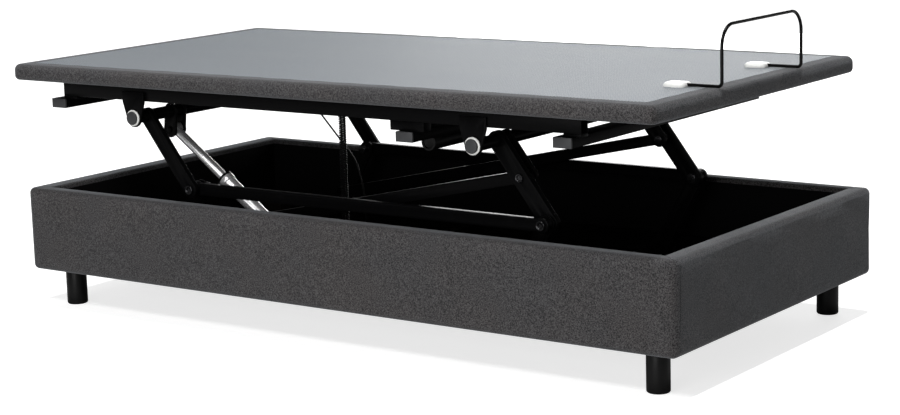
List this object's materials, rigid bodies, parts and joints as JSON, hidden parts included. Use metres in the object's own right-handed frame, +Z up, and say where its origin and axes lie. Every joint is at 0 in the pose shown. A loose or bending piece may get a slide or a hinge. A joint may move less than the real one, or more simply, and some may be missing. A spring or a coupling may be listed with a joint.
{
  "type": "adjustable bed base",
  "caption": "Adjustable single bed base: upholstered box on round legs, parallelogram hi-low lift, sectioned lying surface and a mattress retainer bar.",
  "frame": {"origin": "on the floor under the middle of the whole bed", "axes": "+X towards the foot end (the retainer bar), +Y to the far side, +Z up; stored fully raised with the lying surface flat"},
  "size_m": [2.026, 1, 0.811],
  "materials": {
    "upholstery": "charcoal melange weave over foam",
    "woven_top": "blue-grey dimpled knit",
    "plywood": "plain board",
    "black_steel": "satin black powder coat",
    "zinc_fasteners": "zinc plated",
    "black_fasteners": "black oxide",
    "silver_tube": "bright satin tube",
    "black_plastic": "moulded black",
    "grey_plastic": "moulded mid grey",
    "white_nylon": "natural nylon",
    "black_cloth": "thin black dust cloth",
    "cable_sheath": "black sheath"
  },
  "bodies": {
    "base": {"side_panel_near": "upholstery", "side_panel_far": "upholstery", "end_panel_head": "upholstery", "end_panel_foot": "upholstery", "corner_blocks": "plywood", "legs": "black_plastic", "base_fasteners": "zinc_fasteners", "base_rails": "black_steel", "base_cross_tubes": "black_steel", "base_bushings": "white_nylon", "dust_cover": "black_cloth", "power_supply": "black_plastic", "power_inlet": "black_plastic", "curly_leads": "cable_sheath", "lift_lead": "cable_sheath"},
    "lower_foot_swing": {"lower_foot_arms": "black_steel", "lower_foot_torsion_tube": "black_steel"},
    "lower_head_swing": {"lower_head_arms": "black_steel", "lower_head_torsion_tube": "black_steel"},
    "floating_rails": {"mid_rails": "black_steel", "mid_pivot_bolts": "black_fasteners"},
    "upper_foot_swing": {"upper_foot_arms": "black_steel", "upper_foot_torsion_tube": "black_steel", "foot_tube_caps": "grey_plastic", "sync_link_bolts": "black_fasteners"},
    "upper_head_swing": {"upper_head_arms": "black_steel", "upper_head_torsion_tube": "black_steel", "head_tube_caps": "grey_plastic", "lift_levers": "black_steel"},
    "sync": {"sync_links": "black_steel"},
    "lift_housing": {"lift_actuator_tube": "silver_tube", "lift_actuator_motor": "black_plastic"},
    "lift_rod": {"lift_actuator_rod": "silver_tube"},
    "upper_frame": {"upper_rails": "black_steel", "upper_cross_tubes": "black_steel", "cross_tube_caps": "grey_plastic", "spacer_blocks": "black_steel", "torsion_brackets": "black_steel", "torsion_flanges": "white_nylon", "actuator_brackets": "black_steel", "control_box": "black_plastic", "seat_board": "plywood", "seat_pad": "woven_top", "seat_hinge_leaves": "zinc_fasteners"},
    "back": {"back_board": "plywood", "back_pad": "woven_top", "back_hinge_leaves": "zinc_fasteners", "back_horn": "black_steel"},
    "back_housing": {"back_actuator_tube": "black_plastic"},
    "back_rod": {"back_actuator_rod": "silver_tube"},
    "thigh": {"thigh_board": "plywood", "thigh_pad": "woven_top", "thigh_hinge_leaves": "zinc_fasteners", "thigh_horn": "black_steel"},
    "thigh_housing": {"thigh_actuator_tube": "black_plastic"},
    "thigh_rod": {"thigh_actuator_rod": "silver_tube"},
    "calf": {"calf_board": "plywood", "calf_pad": "woven_top", "retainer_bar": "black_steel", "bar_clips": "white_nylon"}
  },
  "joints": [
    {"name": "lift_lowering", "type": "hinge", "parent": "base", "child": "lower_foot_swing", "pos_m": [0.479, 0, 0.14], "axis": [0, 1, 0], "range_deg": [0, 42], "deforming": ["curly_leads", "lift_lead"]},
    {"name": "lower_head_arm_pivot", "type": "hinge", "parent": "base", "child": "lower_head_swing", "pos_m": [-0.609, 0, 0.14], "axis": [0, 1, 0], "range_deg": [0, 42]},
    {"name": "floating_rail_pivot", "type": "hinge", "parent": "lower_foot_swing", "child": "floating_rails", "pos_m": [0.591, 0, 0.342], "axis": [0, -1, 0], "range_deg": [0, 42]},
    {"name": "upper_foot_arm_pivot", "type": "hinge", "parent": "floating_rails", "child": "upper_foot_swing", "pos_m": [0.591, 0, 0.342], "axis": [0, -1, 0], "range_deg": [0, 38.3]},
    {"name": "upper_frame_pivot", "type": "hinge", "parent": "upper_foot_swing", "child": "upper_frame", "pos_m": [0.446, 0, 0.53], "axis": [0, 1, 0], "range_deg": [0, 38.3]},
    {"name": "upper_head_arm_pivot", "type": "hinge", "parent": "floating_rails", "child": "upper_head_swing", "pos_m": [-0.497, 0, 0.342], "axis": [0, -1, 0], "range_deg": [0, 38.3]},
    {"name": "sync_link_pivot", "type": "hinge", "parent": "upper_foot_swing", "child": "sync", "pos_m": [0.51196, 0, 0.44448], "axis": [0, 1, 0], "range_deg": [0, 46.4]},
    {"name": "lift_actuator_tilt", "type": "hinge", "parent": "base", "child": "lift_housing", "pos_m": [-0.182, -0.285, 0.145], "axis": [0, -1, 0], "range_deg": [0, 24.2]},
    {"name": "lift_rod_stroke", "type": "slide", "parent": "lift_housing", "child": "lift_rod", "axis": [0.8114, 0, -0.5845], "range_m": [0, 0.153]},
    {"name": "back_raise", "type": "hinge", "parent": "upper_frame", "child": "back", "pos_m": [-0.227, 0, 0.64], "axis": [0, 1, 0], "range_deg": [0, 60]},
    {"name": "back_actuator_tilt", "type": "hinge", "parent": "upper_frame", "child": "back_housing", "pos_m": [0.183, -0.11, 0.545], "axis": [0, 1, 0], "range_deg": [0, 8]},
    {"name": "back_rod_stroke", "type": "slide", "parent": "back_housing", "child": "back_rod", "axis": [-1, 0, 0], "range_m": [0, 0.077]},
    {"name": "thigh_raise", "type": "hinge", "parent": "upper_frame", "child": "thigh", "pos_m": [0.073, 0, 0.64], "axis": [0, -1, 0], "range_deg": [0, 35]},
    {"name": "calf_fold", "type": "hinge", "parent": "thigh", "child": "calf", "pos_m": [0.393, 0, 0.6165], "axis": [0, 1, 0], "range_deg": [0, 54]},
    {"name": "thigh_actuator_tilt", "type": "hinge", "parent": "upper_frame", "child": "thigh_housing", "pos_m": [-0.467, 0.11, 0.553], "axis": [0, -1, 0], "range_deg": [0, 3]},
    {"name": "thigh_rod_stroke", "type": "slide", "parent": "thigh_housing", "child": "thigh_rod", "axis": [0.9997, 0, -0.0232], "range_m": [0, 0.0545]}
  ],
  "couplings": [
    {"joint": "lower_head_arm_pivot", "follows": "lift_lowering", "ratio": 1},
    {"joint": "floating_rail_pivot", "follows": "lift_lowering", "ratio": 1},
    {"joint": "upper_foot_arm_pivot", "follows": "lift_lowering", "ratio": 0.90953},
    {"joint": "upper_frame_pivot", "follows": "lift_lowering", "ratio": 0.90953},
    {"joint": "upper_head_arm_pivot", "follows": "lift_lowering", "ratio": 0.90953},
    {"joint": "sync_link_pivot", "follows": "lift_lowering", "ratio": 1.0993},
    {"joint": "lift_actuator_tilt", "follows": "lift_lowering", "ratio": 0.57127},
    {"joint": "lift_rod_stroke", "follows": "lift_lowering", "m_per_rad": 0.20794},
    {"joint": "back_actuator_tilt", "follows": "back_raise", "ratio": 0.12256},
    {"joint": "back_rod_stroke", "follows": "back_raise", "m_per_rad": 0.072993},
    {"joint": "calf_fold", "follows": "thigh_raise", "ratio": 1.52},
    {"joint": "thigh_actuator_tilt", "follows": "thigh_raise", "ratio": 0.082145},
    {"joint": "thigh_rod_stroke", "follows": "thigh_raise", "m_per_rad": 0.088093}
  ]
}
